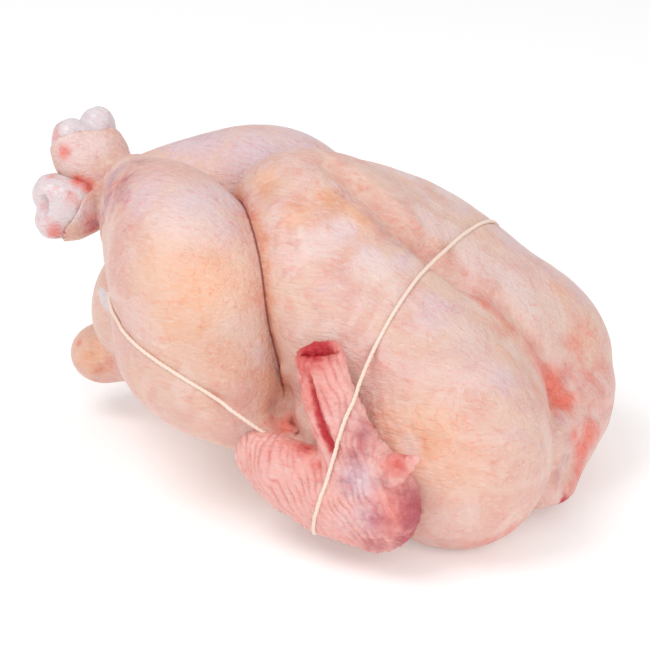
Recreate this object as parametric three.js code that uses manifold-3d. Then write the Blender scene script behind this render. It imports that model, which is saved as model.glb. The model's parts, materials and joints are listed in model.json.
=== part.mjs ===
// Whole raw chicken, dressed and trussed: it lies on its back with the breast up, its legs are
// crossed over the tail, its wings lie against its sides, and one closed elastic string holds them.
// Millimetres, +Z up, +X towards the neck end, -Y the side of the leg that crosses on top. The
// flesh is described by fields, which are negative inside and about the distance to the skin near
// it. A capsule is wrapped onto each field, and the wrapped solids are joined into one.
import * as THREE from 'three';
import { mergeVertices } from 'three/addons/utils/BufferGeometryUtils.js';
import Module from 'manifold-3d';

const wasm = await Module();
wasm.setup();

// ---- driving dimensions: at = centre, half = half-axes, yaw and pitch in degrees (+ nose down)

const TRUNK = { at: [8, 0, 46], half: [80, 57, 49], pitch: 6 };
const BACK = { at: [2, 0, 32], half: [66, 50, 35] };
const BREAST = { at: [30, 29, 67], half: [75, 38, 35], yaw: 3, pitch: 32 };
const SHOULDER = { at: [60, 46, 37], half: [39, 33, 41] };
const KEEL_END = { at: [-13, -4, 94], half: [32, 29, 38], pitch: 30 };
const PELVIS = { at: [-56, 0, 54], half: [42, 42, 30] };
const VENT_SKIN = { at: [-84, -10, 62], half: [17, 30, 26] };
const NECK_SKIN = { at: [87, 11, 21], half: [17, 35, 21] };

// Limbs are stations [x, y, z, radius] along the middle of the limb. The near leg, at -Y, crosses
// on top of the far one. Pieces that are alike on both sides are given for the side of +Y.
const UPPER_ARM = [[4, 64, 38, 14], [36, 56, 40, 20], [62, 46, 40, 24]];
const THIGH = [[-64, 36, 63, 23], [-48, 47, 60, 28], [-30, 53, 58, 30]];
const DRUMSTICK = {
  near: [
    [-104, -2, 110, 9], [-91, -10, 105, 17], [-64, -26, 98, 29.5], [-45, -40, 80, 33], [-28, -49, 56, 27],
  ],
  far: [
    [-104, -3, 98, 10], [-92, 6, 99, 17], [-72, 18, 97, 28], [-48, 36, 86, 32], [-30, 50, 70, 31],
  ],
};
const SHANK = {
  near: [[-92, -8, 105, 15], [-103, -2, 110, 10.5], [-114, 3, 114, 14]],
  far: [[-92, 4, 98, 15], [-103, -4, 98, 10], [-114, -12, 96, 13.5]],
};
const ANKLE_KNOBS = {
  near: [{ at: [-122, -3, 121.5], half: [9, 8, 9] }, { at: [-115, 8, 124], half: [8, 8, 9] }],
  far: [{ at: [-122, -14, 101], half: [8.5, 9, 9] }, { at: [-119, -18, 90], half: [8, 9, 9] }],
};
const TAIL = [[-80, 0, 36, 24], [-100, 0, 30, 18], [-112, 0, 24, 13]];
const FOREARM = [[-2, 76, 35, 9.5], [13, 79, 30, 13.5], [33, 81, 28, 16], [49, 81, 28, 17]];
const HAND = [[47, 80, 36, 14], [40, 78, 53, 10.5], [32, 75, 68, 9], [23, 71, 79, 8]];
const THUMB = [[52, 84, 38, 6], [60, 86, 46, 4.5], [67, 87, 53, 2]];
const TAIL_THICKNESS = 0.85; // height of the tail over its width
const FOREARM_THICKNESS = 0.7;
const HAND_THICKNESS = 0.6;
const HAND_TILT = 0.3; // rise over run of the flat hand's leaning face

const STRING_DIAMETER = 1.5;
const STRING_GAP = 0.4; // between the string and the skin under it
const TUNNEL_GAP = 0.3; // round the string where it runs behind a wing
const STRING_STEP = 5.5;
const STRING_SIDES = 6;

// Half of the string's loop at the side of +Y, as points near the skin: over the breast and the
// wing, behind the wing, and back along the thigh to the place under the crossed shanks.
const STRING_OVER_BREAST = [
  [46, 12, 97], [47, 32, 98], [46, 53, 90], [43, 65, 76], [41, 82, 61],
  [37, 86, 48], [33, 92, 34], [29, 91, 22], [27, 84, 12],
];
const STRING_BEHIND_WING = [[23, 74, 13], [17, 69, 24], [8, 70, 38]];
const STRING_OVER_THIGH = [
  [-1, 75, 45], [-14, 80, 55], [-30, 84, 65], [-46, 80, 72], [-59, 72, 78],
  [-70, 60, 81], [-80, 44, 82], [-89, 28, 84], [-97, 12, 86],
];

// ---- fields

const degrees = THREE.MathUtils.degToRad;
const mirrored = ([x, y, z, ...rest], side) => [x, side * y, z, ...rest];
const spineOf = (stations, side = 1) => stations.map(([x, y, z]) => [x, side * y, z]);

function ellipsoid({ at, half, yaw = 0, pitch = 0 }) {
  const centre = new THREE.Vector3(...at);
  const radii = new THREE.Vector3(...half);
  const unturn = new THREE.Quaternion()
    .setFromEuler(new THREE.Euler(0, degrees(pitch), degrees(yaw), 'ZYX'))
    .invert();
  const q = new THREE.Vector3();
  return (p) => {
    q.copy(p).sub(centre).applyQuaternion(unturn).divide(radii);
    const reach = q.length();
    const slope = q.divide(radii).length();
    return slope < 1e-6 ? -Math.min(...half) : (reach * (reach - 1)) / slope;
  };
}

// A limb's middle is a smooth curve through its stations, and its radius follows another. Its
// thickness along `across` is squeezed to `thickness` of its width.
function limb(stations, { across = [0, 1, 0], thickness = 1, steps = 4 } = {}) {
  const normal = new THREE.Vector3(...across).normalize();
  const stretch = (v) => v.addScaledVector(normal, v.dot(normal) * (1 / thickness - 1));
  const middle = curveThrough(stations.map(([x, y, z]) => [x, y, z]));
  const widths = curveThrough(stations.map(([, , , r]) => [r, 0, 0]));
  const count = steps * (stations.length - 1);
  const centres = middle.getPoints(count).map(stretch);
  const radii = widths.getPoints(count).map((w) => w.x);
  const q = new THREE.Vector3();
  const bone = new THREE.Line3();
  const foot = new THREE.Vector3();
  return (p) => {
    stretch(q.copy(p));
    let nearest = Infinity;
    for (let i = 0; i < count; i++) {
      bone.set(centres[i], centres[i + 1]);
      const t = bone.closestPointToPointParameter(q, true);
      const radius = THREE.MathUtils.lerp(radii[i], radii[i + 1], t);
      nearest = Math.min(nearest, bone.at(t, foot).distanceTo(q) - radius);
    }
    return nearest;
  };
}

function curveThrough(points, closed = false) {
  return new THREE.CatmullRomCurve3(points.map((p) => new THREE.Vector3(...p)), closed, 'catmullrom');
}

// The union of fields, with the creases between them filled to a width of about `fillet`.
function blend(fillet, ...fields) {
  return (p) => fields.map((f) => f(p)).reduce((a, b) => {
    const h = THREE.MathUtils.clamp(0.5 + (0.5 * (b - a)) / fillet, 0, 1);
    return b * (1 - h) + a * h - fillet * h * (1 - h);
  });
}

// ---- anatomy

const SIDES = { near: -1, far: 1 };
const bothSides = (spec) => [-1, 1].map((side) => {
  const turned = { ...spec, at: mirrored(spec.at, side), yaw: side * (spec.yaw ?? 0) };
  return ellipsoid(turned);
});

function torsoField() {
  const upperArms = [-1, 1].map((side) => limb(UPPER_ARM.map((s) => mirrored(s, side))));
  const lobes = [...bothSides(BREAST), ...bothSides(SHOULDER)];
  const carcass = blend(12, ellipsoid(TRUNK), ellipsoid(BACK), ...lobes);
  const rear = blend(16, carcass, ellipsoid(KEEL_END), ellipsoid(PELVIS));
  return blend(8, rear, ellipsoid(VENT_SKIN), ellipsoid(NECK_SKIN), ...upperArms);
}

function legField(name) {
  const thigh = limb(THIGH.map((s) => mirrored(s, SIDES[name])));
  return blend(10, thigh, limb(DRUMSTICK[name]));
}

function shankField(name) {
  return blend(4, limb(SHANK[name]), ...ANKLE_KNOBS[name].map(ellipsoid));
}

function forearmField(side) {
  return limb(FOREARM.map((s) => mirrored(s, side)), { thickness: FOREARM_THICKNESS });
}

function handField(side) {
  const across = [0, 1, HAND_TILT * side];
  return limb(HAND.map((s) => mirrored(s, side)), { across, thickness: HAND_THICKNESS });
}

const thumbField = (side) => limb(THUMB.map((s) => mirrored(s, side)));

// ---- skinning: a capsule's rings are laid along a spine inside a field and pushed out to the skin

const MARCH = 2; // step of the search for the skin
const HALVINGS = 14;
const SIDEWAYS = new THREE.Vector3(0, 1, 0);

function skinPoint(field, from, direction) {
  const p = new THREE.Vector3();
  let inside = 0;
  while (field(p.copy(from).addScaledVector(direction, inside + MARCH)) < 0) inside += MARCH;
  let outside = inside + MARCH;
  for (let i = 0; i < HALVINGS; i++) {
    const middle = (inside + outside) / 2;
    if (field(p.copy(from).addScaledVector(direction, middle)) < 0) inside = middle;
    else outside = middle;
  }
  return p.copy(from).addScaledVector(direction, inside);
}

function wrap(field, spinePoints, { around, along, cap }) {
  const spine = curveThrough(spinePoints);
  const length = 2;
  const seed = welded(new THREE.CapsuleGeometry(1, length, cap, around, along));
  const position = seed.getAttribute('position');
  const from = new THREE.Vector3();
  for (let i = 0; i < position.count; i++) {
    const [x, y, z] = [position.getX(i), position.getY(i), position.getZ(i)];
    const t = THREE.MathUtils.clamp((y + length / 2) / length, 0, 1);
    const ahead = spine.getTangent(t);
    const beside = SIDEWAYS.clone().addScaledVector(ahead, -SIDEWAYS.dot(ahead)).normalize();
    const above = ahead.clone().cross(beside);
    const beyond = y - (t - 0.5) * length;
    const direction = beside.multiplyScalar(-x).addScaledVector(above, z).addScaledVector(ahead, beyond);
    const skin = skinPoint(field, spine.getPoint(t, from), direction.normalize());
    position.setXYZ(i, skin.x, skin.y, skin.z);
  }
  return toSolid(seed);
}

// ---- between three.js geometries and solids

function welded(geometry) {
  geometry.deleteAttribute('normal');
  geometry.deleteAttribute('uv');
  return mergeVertices(geometry, 1e-4);
}

// Triangles that a weld has flattened, as at a capsule's poles, are left out.
function toSolid(geometry) {
  const corners = [];
  for (let i = 0; i < geometry.index.count; i += 3) {
    const [a, b, c] = [0, 1, 2].map((k) => geometry.index.getX(i + k));
    if (a !== b && b !== c && c !== a) corners.push(a, b, c);
  }
  const vertProperties = geometry.getAttribute('position').array;
  const triVerts = new Uint32Array(corners);
  return new wasm.Manifold(new wasm.Mesh({ numProp: 3, vertProperties, triVerts }));
}

function toGeometry(solid) {
  const { vertProperties, triVerts } = solid.getMesh();
  const geometry = new THREE.BufferGeometry();
  geometry.setAttribute('position', new THREE.BufferAttribute(vertProperties, 3));
  geometry.setIndex(new THREE.BufferAttribute(triVerts, 1));
  geometry.computeVertexNormals();
  return geometry;
}

const union = (solids) => solids.reduce((a, b) => a.add(b));

// ---- the bird

function torso() {
  return wrap(torsoField(), [[-50, 0, 52], [0, 0, 56], [48, 0, 44]], { around: 54, along: 14, cap: 14 });
}

function leg(name) {
  const side = SIDES[name];
  const spine = [[-86, side * 9, 103], [-62, side * 26, 93], [-42, side * 42, 72]];
  return wrap(legField(name), spine, { around: 30, along: 10, cap: 10 });
}

function shank(name) {
  return wrap(shankField(name), spineOf(SHANK[name]), { around: 20, along: 6, cap: 7 });
}

function tail() {
  const field = limb(TAIL, { across: [0, 0, 1], thickness: TAIL_THICKNESS });
  return wrap(field, [[-80, 0, 36], [-100, 0, 30], [-110, 0, 25]], { around: 16, along: 3, cap: 5 });
}

function wing(side) {
  return union([
    wrap(forearmField(side), spineOf(FOREARM, side), { around: 18, along: 8, cap: 5 }),
    wrap(handField(side), spineOf(HAND, side), { around: 18, along: 8, cap: 5 }),
    wrap(thumbField(side), spineOf(THUMB, side), { around: 10, along: 4, cap: 3 }),
  ]);
}

// The flat of the back: what would reach below the surface that the bird lies on is cut off.
function floorBlock() {
  return toSolid(welded(new THREE.BoxGeometry(400, 400, 60).translate(0, 0, -30)));
}

// ---- the string

function skinField() {
  const parts = [
    torsoField(), legField('near'), legField('far'), shankField('near'), shankField('far'),
    forearmField(-1), forearmField(1), handField(-1), handField(1), thumbField(-1), thumbField(1),
  ];
  return (p) => Math.min(...parts.map((part) => part(p)));
}

// Moves a point straight out or in until it lies `height` above the skin.
function settle(point, field, height) {
  const probe = 0.5;
  const q = new THREE.Vector3();
  const slope = new THREE.Vector3();
  for (let i = 0; i < 8; i++) {
    for (const axis of ['x', 'y', 'z']) {
      const ahead = field(q.copy(point).setComponent('xyz'.indexOf(axis), point[axis] + probe));
      const behind = field(q.copy(point).setComponent('xyz'.indexOf(axis), point[axis] - probe));
      slope[axis] = ahead - behind;
    }
    point.addScaledVector(slope.normalize(), height - field(point));
  }
  return point;
}

function stringPath() {
  const field = skinField();
  const height = STRING_DIAMETER / 2 + STRING_GAP;
  const onSkin = (list) => list.map((at) => ({ at, hidden: false }));
  const half = [
    ...onSkin(STRING_OVER_BREAST),
    ...STRING_BEHIND_WING.map((at) => ({ at, hidden: true })),
    ...onSkin(STRING_OVER_THIGH),
  ];
  const stops = [...half, ...half.toReversed().map(({ at, hidden }) => ({ at: mirrored(at, -1), hidden }))];
  const settled = stops.map(({ at, hidden }) => {
    const point = new THREE.Vector3(...at);
    return hidden ? point : settle(point, field, height);
  });
  const route = new THREE.CatmullRomCurve3(settled, true);
  const count = Math.round(route.getLength() / STRING_STEP);
  const points = [];
  for (let i = 0; i < count; i++) {
    const t = route.getUtoTmapping(i / count);
    const point = route.getPoint(t);
    const before = Math.floor(t * stops.length) % stops.length;
    const hidden = stops[before].hidden || stops[(before + 1) % stops.length].hidden;
    points.push(!hidden && field(point) < height ? settle(point, field, height) : point);
  }
  return new THREE.CatmullRomCurve3(points, true);
}

function stringTube(path, diameter) {
  const steps = Math.round(path.getLength() / STRING_STEP);
  return toSolid(welded(new THREE.TubeGeometry(path, steps, diameter / 2, STRING_SIDES, true)));
}

// ---- assembly

const FINISH = {
  chicken: { color: 0xe9c3ae, roughness: 0.45, metalness: 0 },
  truss_string: { color: 0xead2bd, roughness: 0.8, metalness: 0 },
};

const path = stringPath();
const tunnel = stringTube(path, STRING_DIAMETER + 2 * TUNNEL_GAP);
const flesh = union([
  torso(), leg('near'), leg('far'), shank('near'), shank('far'), tail(), wing(-1), wing(1),
]).subtract(floorBlock()).subtract(tunnel);

const solids = { chicken: flesh, truss_string: stringTube(path, STRING_DIAMETER) };
const chicken = new THREE.Group();
for (const [name, solid] of Object.entries(solids)) {
  const mesh = new THREE.Mesh(toGeometry(solid), new THREE.MeshStandardMaterial(FINISH[name]));
  mesh.name = name;
  chicken.add(mesh);
}

// The origin is under the middle of the box round the whole bird.
const middle = new THREE.Box3().setFromObject(chicken).getCenter(new THREE.Vector3());
chicken.position.set(-middle.x, -middle.y, 0);

export default chicken;
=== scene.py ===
"""Whole raw chicken, dressed and trussed with one elastic string.

Sizes are millimetres with +Z up, +X towards the neck end, and -Y the side of the leg that crosses
on top, from a zero under the middle of the breast. ORIGIN moves that zero into the frame's own.
A field takes an array of points and gives about their distance to the skin, negative inside.
"""

import json
import math
from collections import namedtuple
from functools import partial

import bpy
import numpy as np
from mathutils import Matrix, Vector

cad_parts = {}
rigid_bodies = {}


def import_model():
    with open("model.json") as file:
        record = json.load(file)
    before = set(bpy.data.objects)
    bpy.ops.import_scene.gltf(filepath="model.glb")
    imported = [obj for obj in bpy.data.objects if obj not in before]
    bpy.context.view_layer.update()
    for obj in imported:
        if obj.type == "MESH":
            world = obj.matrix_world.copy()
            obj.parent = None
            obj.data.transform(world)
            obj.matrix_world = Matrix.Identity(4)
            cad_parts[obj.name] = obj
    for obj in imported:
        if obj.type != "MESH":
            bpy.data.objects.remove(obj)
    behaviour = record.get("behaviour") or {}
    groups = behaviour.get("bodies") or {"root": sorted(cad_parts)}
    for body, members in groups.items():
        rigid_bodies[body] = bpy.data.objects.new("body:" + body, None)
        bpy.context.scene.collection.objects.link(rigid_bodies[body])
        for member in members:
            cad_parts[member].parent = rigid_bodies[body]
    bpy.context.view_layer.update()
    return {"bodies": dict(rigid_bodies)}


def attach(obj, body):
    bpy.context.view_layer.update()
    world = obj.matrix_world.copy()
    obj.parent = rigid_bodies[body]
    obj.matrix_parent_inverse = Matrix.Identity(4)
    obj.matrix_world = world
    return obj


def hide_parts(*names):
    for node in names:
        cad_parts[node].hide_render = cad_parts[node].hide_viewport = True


bl_info = {
    "name": "Raw Chicken",
    "version": (1, 0, 0),
    "blender": (4, 5, 0),
    "location": "View3D > Sidebar > Chicken",
    "description": "A whole raw chicken, trussed with an elastic string",
    "category": "Add Mesh",
}

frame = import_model()

MM = 0.001
ORIGIN = np.array([13.407, -0.054, 0.0])
BODY = next(iter(frame["bodies"]))
NEAR, FAR = -1, 1


def shade(red, green, blue):
    """A display colour, 0 to 255, as the linear colour that Blender's properties hold."""
    steps = (channel / 255 for channel in (red, green, blue))
    return tuple(c / 12.92 if c <= 0.04045 else ((c + 0.055) / 1.055) ** 2.4 for c in steps)


# ---- fields ----

FAR_OFF = 1e9
ROUGH = 30  # farther than this from a limb, its distance is only judged


def length(v):
    return np.sqrt(np.einsum("ij,ij->i", v, v))


def ellipsoid(p, at, half, yaw=0.0, pitch=0.0):
    """Half-axes `half`; + pitch turns the +X end down."""
    turn = Matrix.Rotation(math.radians(yaw), 3, "Z") @ Matrix.Rotation(math.radians(pitch), 3, "Y")
    q = (p - at) @ np.array(turn) / half
    reach = length(q)
    return reach * (reach - 1) / np.maximum(length(q / half), 1e-9)


def curve_through(stations, steps):
    """A smooth curve through the stations, `steps` pieces between two of them."""
    s = np.array(stations, float)
    s = np.vstack([2 * s[0] - s[1], s, 2 * s[-1] - s[-2]])
    t = (np.arange(steps) / steps)[:, None]
    pieces = [
        0.5 * (2 * b + (c - a) * t + (2 * a - 5 * b + 4 * c - d) * t**2 + (3 * b - a - 3 * c + d) * t**3)
        for a, b, c, d in zip(s, s[1:], s[2:], s[3:])
    ]
    return np.vstack([*pieces, s[-2]])


def to_line(p, points, radii=None):
    """The distance to a line through points, or to its skin where each point has a radius."""
    thick = np.zeros(len(points)) if radii is None else radii
    nearest = np.full(len(p), FAR_OFF)
    for start, end, r0, r1 in zip(points, points[1:], thick, thick[1:]):
        run = end - start
        t = np.clip((p - start) @ run / max(run @ run, 1e-9), 0, 1)
        nearest = np.minimum(nearest, length(p - start - t[:, None] * run) - (r0 + t * (r1 - r0)))
    return nearest


def limb(p, stations, across=(0, 1, 0), thickness=1.0, steps=4):
    """Round along stations (x, y, z, radius), and squeezed along `across` to `thickness`."""
    normal = np.array(across) / np.linalg.norm(across)
    squeeze = np.eye(3) + (1 / thickness - 1) * np.outer(normal, normal)
    along = curve_through(stations, steps)
    centres, radii = along[:, :3] @ squeeze, along[:, 3]
    middle = centres.mean(axis=0)
    around = p @ squeeze
    nearest = length(around - middle) - np.max(length(centres - middle) + radii)
    close = nearest < ROUGH
    nearest[close] = to_line(around[close], centres, radii)
    return nearest


def blend(a, b, fillet):
    """The union of two fields, with the crease between them filled to about `fillet`."""
    h = np.clip(0.5 + 0.5 * (b - a) / fillet, 0, 1)
    return b * (1 - h) + a * h - fillet * h * (1 - h)


def carve(a, b, fillet):
    """Where both fields are inside, with the edge between them rounded."""
    return -blend(-a, -b, fillet)


def mirrored(stations, side):
    return [(x, side * y, z, *rest) for x, y, z, *rest in stations]


# ---- patterns on the skin ----


def fade(low, high, value):
    """0 below low, 1 above high, and smooth between."""
    t = np.clip((value - low) / (high - low), 0, 1)
    return t * t * (3 - 2 * t)


def noise(p, size, seed=0):
    """Smooth noise from -1 to 1 whose lumps are about `size` across."""
    q = p / size + 31.7 * (seed + 1)
    cell = np.floor(q).astype(np.int64)
    t = q - cell
    t = t * t * (3 - 2 * t)
    total = np.zeros(len(p))
    for corner in np.ndindex(2, 2, 2):
        n = (cell + corner) @ np.array([73856093, 19349663, 83492791])
        n = ((n ^ (n >> 13)) * 1274126177) & 0xFFFFFFFF
        n = ((n ^ (n >> 15)) * 668265263) & 0xFFFFFFFF
        weight = np.prod(np.where(corner, t, 1 - t), axis=1)
        total += weight * ((n >> 8 & 0xFFFF) / 32767.5 - 1)
    return total


# ---- from a field to a skin ----

COARSE = 4  # the coarse grid's step, in steps of the fine one
FLOOR_MARGIN = 3  # the relief fades out over this height above the floor


def slope(field, p, probe=0.25):
    """The direction in which a field grows fastest, times how fast it grows."""
    legs = np.array([(1, 1, 1), (1, -1, -1), (-1, 1, -1), (-1, -1, 1)])
    return sum(field(p + probe * leg)[:, None] * leg for leg in legs) / (4 * probe)


def outwards_at(points, field):
    steep = slope(field, points, probe=0.5)
    return steep / np.maximum(length(steep), 1e-6)[:, None]


def settle(points, field, rounds=3):
    """Moves points straight out or in until they lie on the skin."""
    p = np.array(points, float)
    for _ in range(rounds):
        steep = slope(field, p)
        p -= (field(p) / np.maximum(length(steep) ** 2, 0.25))[:, None] * steep
    return p


def nodes_of(low, counts, step):
    axes = [start + step * np.arange(n + 1) for start, n in zip(low, counts)]
    return np.stack(np.meshgrid(*axes, indexing="ij"), -1)


def cell_corners(grid):
    """The values at the eight corners of each cell of a grid."""
    corners = np.ndindex(2, 2, 2)
    return [grid[tuple(slice(c, n - 1 + c) for c, n in zip(k, grid.shape))] for k in corners]


def sample(field, low, high, step):
    """A field on a grid. Away from the skin only the sign of a value counts."""
    wide = COARSE * step
    counts = np.ceil((np.array(high) - low) / wide).astype(int)
    coarse = nodes_of(low, counts, wide)
    values = field(coarse.reshape(-1, 3)).reshape(coarse.shape[:3])
    corners = cell_corners(values)
    near = np.min(np.abs(corners), axis=0) < 0.9 * wide
    sign = np.where(corners[0] < 0, -1.0, 1.0)
    for axis in range(3):
        start, end = [(0, 0)] * 3, [(0, 0)] * 3
        start[axis], end[axis] = (1, 0), (0, 1)
        near = np.repeat(near, COARSE, axis)
        near = np.pad(near, start) | np.pad(near, end)
        sign = np.pad(np.repeat(sign, COARSE, axis), end, mode="edge")
    fine = nodes_of(low, COARSE * counts, step)
    sign[near] = field(fine[near])
    return sign


def skin_of(field, relief, low, high, step):
    """A closed skin of quads where a field is 0, one point in each cell that the skin crosses.

    The relief then moves each point straight out by its rise.
    """
    values = sample(field, low, high, step)
    inside = values < 0
    count = np.sum(cell_corners(inside), axis=0)
    cells = np.argwhere((count > 0) & (count < 8))
    number = np.full(count.shape, -1)
    number[tuple(cells.T)] = np.arange(len(cells))
    total, hits = np.zeros((len(cells), 3)), np.zeros((len(cells), 1))
    quads = []
    for axis in range(3):
        ahead, side, up = np.roll(np.eye(3, dtype=int), -axis, axis=0)
        for start in (0 * ahead, side, up, side + up):
            before = values[tuple((cells + start).T)]
            after = values[tuple((cells + start + ahead).T)]
            cut = (before < 0) != (after < 0)
            share = before[cut] / (before[cut] - after[cut])
            total[cut] += cells[cut] + start + share[:, None] * ahead
            hits[cut] += 1
        short = tuple(slice(0, n - 1 if k == axis else n) for k, n in enumerate(values.shape))
        long = tuple(slice(1 if k == axis else 0, n) for k, n in enumerate(values.shape))
        edges = np.argwhere(inside[short] != inside[long])
        ring = [edges - side - up, edges - up, edges, edges - side]
        around = np.stack([number[tuple(r.T)] for r in ring], 1)
        outwards = inside[tuple(edges.T)]
        quads.append(np.where(outwards[:, None], around, around[:, ::-1]))
    points = settle(np.array(low) + step * total / hits, field, rounds=2)
    rise = relief(points) * fade(0, FLOOR_MARGIN, points[:, 2])
    points += rise[:, None] * outwards_at(points, field)
    quads = np.vstack(quads)
    return np.stack([evened(row, quads) for row in points.T], 1), quads


def evened(values, faces):
    """Values per point, drawn half way to their neighbours' mean."""
    corners = faces.ravel()
    means = np.repeat(values[faces].mean(axis=1), 4)
    return (values + np.bincount(corners, means) / np.bincount(corners)) / 2


# ---- the bird's shape ----

# Rounds are a middle, half-axes, yaw and pitch, and limbs are stations (x, y, z, radius). What is
# alike on both sides is given for +Y.
CARCASS = ((8, 0, 46), (80, 57, 49), 0, 6)
BACK = ((2, 0, 32), (66, 50, 35))
BREAST = {NEAR: ((30, -29, 67), (75, 38, 35), -3, 32), FAR: ((30, 29, 67), (75, 38, 35), 3, 32)}
CLEFT = 34  # fillet between the two breasts
KEEL_END = ((-6, -4, 91), (44, 31, 36), 0, 33)
BELLY = ((-56, 0, 54), (42, 42, 30))
VENT = ((-84, -10, 60), (18, 34, 26))
UPPER_ARM = [(2, 60, 36, 11), (36, 56, 40, 19), (62, 46, 40, 24)]
THIGH = [(-61, 36, 63, 20), (-48, 47, 61, 27), (-33.5, 52, 59, 27.5), (-20, 55.5, 46.5, 19)]
DRUMSTICK = {
    NEAR: [
        (-83.5, -15, 108.3, 14.8), (-58.5, -34.5, 101, 27),
        (-41.5, -48, 84, 33), (-36, -52, 67.5, 29.5), (-33, -51, 56, 26.5),
    ],
    FAR: [
        (-104, -3, 98, 10), (-92, 6, 98, 16), (-72, 19, 94, 26),
        (-50, 36, 89.5, 33), (-32, 49, 73, 30),
    ],
}
SHANK = {
    NEAR: [(-78, -6, 98, 13), (-92, -6, 103.5, 11), (-103, -2, 109, 10.5), (-113, 2, 113.5, 14)],
    FAR: [(-92, 4, 98, 15), (-103, -4, 98, 10), (-115, -13, 96, 13.5)],
}
ANKLE = {  # two lobes and their base
    NEAR: [
        ((-120, -4, 121), (8.2, 8, 9)),
        ((-114.5, 8, 123.6), (7.6, 7.3, 8.6)),
        ((-115.5, -1, 113), (13, 13, 12)),
    ],
    FAR: [
        ((-123.5, -15, 101), (8, 9, 8)),
        ((-120, -19, 91), (8.5, 9, 8)),
        ((-115, -13, 96), (12, 12, 12)),
    ],
}
SKIN_END = {  # where the skin of the shank ends on the ankle: a point and the way out
    NEAR: ((-113, -2, 123.5), (-0.52, 0.47, 0.71)),
    FAR: ((-109, -20, 97), (-0.86, -0.07, 0.51)),
}
ANKLE_SKIN = 0.8  # its thickness
TENDON = [(-104, -5.5, 104, 8), (-98, -13, 95.5, 5.5), (-92, -21, 87, 5), (-80, -25, 80, 8)]
TAIL = [(-80, 0, 38, 24), (-98, -1, 31, 17.5), (-108, -3, 27, 15)]
SHOULDER = {NEAR: ((63, -45, 37), (39.5, 31.5, 40)), FAR: ((58.5, 44, 36), (39.5, 32.5, 39.5))}
NECK = [(83, -14, 27, 17), (86, 4, 28, 17), (87, 22, 30, 18), (86, 36, 30, 17)]
NECK_FLAP = [
    (91, -22, 13, 8), (94.5, -13, 12, 8.5), (94.5, 0, 16, 8.5),
    (95, 12, 22, 9), (95, 24, 29, 9), (92, 34, 36, 9),
]
NECK_EDGE = 8  # its height over the floor
FOREARM = [(-0.5, 75, 33.5, 11), (13.5, 79, 30.5, 15), (30, 81, 27.5, 17), (47, 81, 26.5, 18)]
HAND = {
    NEAR: [(50, 82, 33, 15), (41, 82, 46, 12), (32, 79, 58, 11), (26, 76, 70, 10), (21, 73, 86, 9.5)],
    FAR: [(50, 82, 33, 15), (41, 82, 44, 12), (34, 80, 54, 11), (29, 77, 64, 10), (26, 75, 74, 9.5)],
}
HAND_END = {NEAR: (21, 73, 81.5), FAR: (26.5, 75, 70)}  # where the hand is cut off
HAND_CUT = (-0.2, 0.41, 0.89)  # the way that the cut faces
HAND_HOLLOW, HAND_WALL = 3, 2.2  # how deep the cut end is sunk, and the skin round it
THUMB = [(50, 84, 42, 8), (57, 87, 46.5, 6), (63, 88.5, 51, 3.2), (68, 89, 54.5, 0.8)]
THUMB_STATIONS = {NEAR: 4, FAR: 2}  # the far thumb ends sooner
HAND_GROOVE = [(20.5, 76), (23.2, 66.5), (26.3, 60), (29.4, 54), (33, 49.5)]  # (x, z)
DIVE_DEPTH, DIVE_REACH = 3, 7  # of the breast beside the legs
FLOOR_EDGE = 3  # rounds the bird's edge where it lies on the floor

STRING_OVER_BREAST = {
    NEAR: [(44, 12, 100), (44, 32, 99), (42, 53, 91), (38, 65, 78), (37, 82, 61)],
    FAR: [(44, 12, 100), (46, 33, 98), (46, 53, 90), (43, 65, 76), (39, 82, 61)],
}
STRING_OVER_WING = [(35, 86, 48), (32, 92, 34), (28, 91, 22), (26, 84, 12)]
STRING_BEHIND_WING = [(23, 74, 13), (17, 69, 24), (9, 70, 37), (-1, 75.5, 45)]
STRING_OVER_THIGH = [
    (-14, 80, 55), (-30, 84, 65), (-46, 80, 72), (-59, 72, 78),
    (-70, 60, 81), (-80, 44, 82), (-89, 28, 84), (-97, 12, 86),
]


def torso(p):
    d = blend(ellipsoid(p, *CARCASS), ellipsoid(p, *BACK), 12)
    d = blend(d, blend(ellipsoid(p, *BREAST[NEAR]), ellipsoid(p, *BREAST[FAR]), CLEFT), 12)
    for side in (NEAR, FAR):
        d = blend(d, ellipsoid(p, *SHOULDER[side]), 12)
    d = blend(d, ellipsoid(p, *KEEL_END), 20)
    d = blend(d, ellipsoid(p, *BELLY), 18)
    d = blend(d, ellipsoid(p, *VENT), 8)
    for side in (NEAR, FAR):
        d = blend(d, limb(p, mirrored(UPPER_ARM, side)), 8)
    return d


def neck_skin(p):
    """The loose skin at the neck, with a ragged lower edge clear of the floor."""
    loose = blend(limb(p, NECK), limb(p, NECK_FLAP), 5)
    return carve(loose, NECK_EDGE + 1.8 * noise(p, 5, 9) - p[:, 2], 1.5)


def leg(p, side):
    return blend(limb(p, mirrored(THIGH, side)), limb(p, DRUMSTICK[side], steps=9), 10)


def ankle(p, side):
    """The joint's bare gristle: two lobes on a base that the skin covers."""
    left, right, base = (ellipsoid(p, at, half) for at, half in ANKLE[side])
    return blend(blend(left, right, 3), base, 4)


def shank(p, side):
    """The skin from the calf to the ankle, which it covers up to a wavy end."""
    at, out = SKIN_END[side]
    beyond = (p - at) @ np.array(out) + 1.2 * noise(p, 7, 5)
    covered = blend(limb(p, SHANK[side]), ankle(p, side) - ANKLE_SKIN, 4)
    return carve(covered, beyond, 0.8)


def ahead_of_leg(p, side):
    """1 where the breast dives under the leg, 0 behind and below, where leg and flank are one."""
    ahead = fade(-8, 14, (p - (-38, side * 50, 62)) @ np.array((0.8, 0, 0.6)))
    return ahead * fade(36, 58, p[:, 2])


def dive(gap):
    """How deep the breast dives at a distance from a leg."""
    return DIVE_DEPTH * np.exp(-np.maximum(gap, 0) / DIVE_REACH)


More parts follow.
